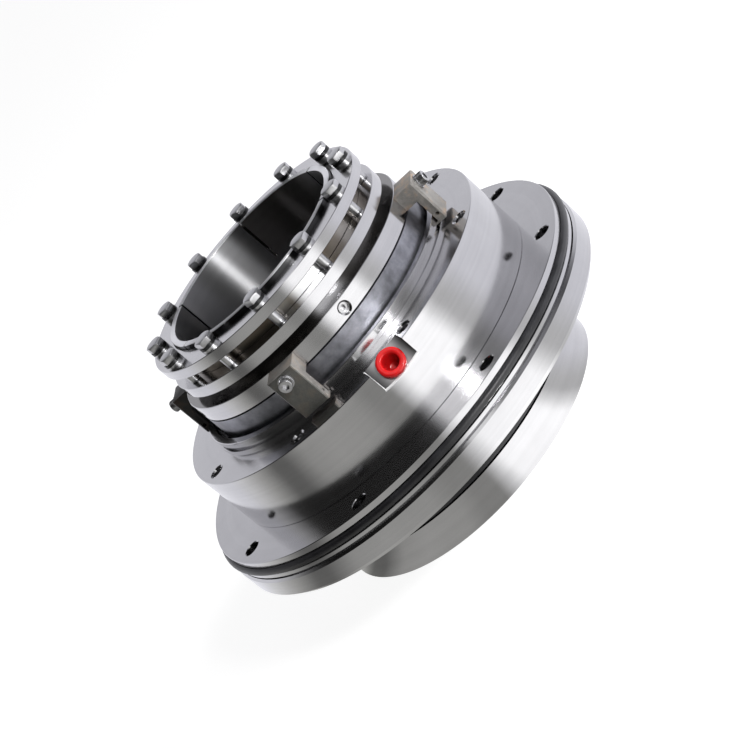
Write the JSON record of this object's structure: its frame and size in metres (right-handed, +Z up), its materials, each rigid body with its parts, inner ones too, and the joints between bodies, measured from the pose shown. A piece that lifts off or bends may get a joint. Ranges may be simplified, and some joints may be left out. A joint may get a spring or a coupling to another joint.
{
  "type": "cartridge mechanical seal",
  "caption": "Cartridge mechanical seal with flanged gland, clamped shaft sleeve, sprung seal faces, setting clips and plugged ports.",
  "frame": {"origin": "centre of the spigot's end face, on the shaft axis", "axes": "+Z up along the shaft axis from the spigot to the clamp, -Y towards the front port"},
  "size_m": [0.3705, 0.3706, 0.2342],
  "materials": {
    "polished_steel": "turned and polished",
    "sleeve_steel": "ground",
    "clip_steel": "matt",
    "fastener_steel": "bright",
    "seal_rubber": "satin",
    "silicon_carbide": "matt",
    "carbon": "lapped",
    "plug_plastic": "gloss"
  },
  "bodies": {
    "gland": {"gland_housing": "polished_steel", "mounting_flange": "polished_steel", "flange_spigot": "polished_steel", "flange_o_ring": "seal_rubber", "spigot_o_ring": "seal_rubber", "housing_o_ring": "seal_rubber", "housing_screws": "fastener_steel", "port_plug_front": "plug_plastic", "port_plug_rear": "plug_plastic", "outer_locking_pins": "fastener_steel", "inner_locking_pins": "fastener_steel", "outer_springs": "fastener_steel", "inner_springs": "fastener_steel"},
    "outer_face": {"outer_sliding_face": "carbon", "outer_face_o_ring": "seal_rubber"},
    "inner_face": {"inner_sliding_face": "carbon", "inner_face_o_ring": "seal_rubber"},
    "rotor": {"shaft_sleeve": "sleeve_steel", "sleeve_o_ring": "seal_rubber", "clamp_taper_ring": "sleeve_steel", "upper_clamp_ring": "polished_steel", "lower_clamp_ring": "polished_steel", "clamp_bolts": "fastener_steel", "bolt_washers": "fastener_steel", "spring_washers": "fastener_steel", "drive_collar": "polished_steel", "collar_set_screws": "fastener_steel", "outer_rotating_ring": "silicon_carbide", "outer_ring_o_ring": "seal_rubber", "outer_drive_pins": "fastener_steel", "setting_clip_front": "clip_steel", "setting_clip_right": "clip_steel", "setting_clip_rear": "clip_steel", "setting_clip_left": "clip_steel", "clip_screws": "fastener_steel", "clip_washers": "fastener_steel", "inner_rotating_ring": "silicon_carbide", "inner_ring_o_ring": "seal_rubber", "inner_drive_pins": "fastener_steel"}
  },
  "joints": [
    {"name": "rotor_spin", "type": "hinge", "parent": "gland", "child": "rotor", "pos_m": [0, 0, 0.11], "axis": [0, 0, 1], "continuous": true},
    {"name": "outer_face_slide", "type": "slide", "parent": "gland", "child": "outer_face", "axis": [0, 0, 1], "range_m": [-0.002, 0], "stiffness_N_per_m": 20000, "springref_m": 0.004, "deforming": ["outer_springs"]},
    {"name": "inner_face_slide", "type": "slide", "parent": "gland", "child": "inner_face", "axis": [0, 0, 1], "range_m": [0, 0.002], "stiffness_N_per_m": 20000, "springref_m": -0.004, "deforming": ["inner_springs"]}
  ]
}
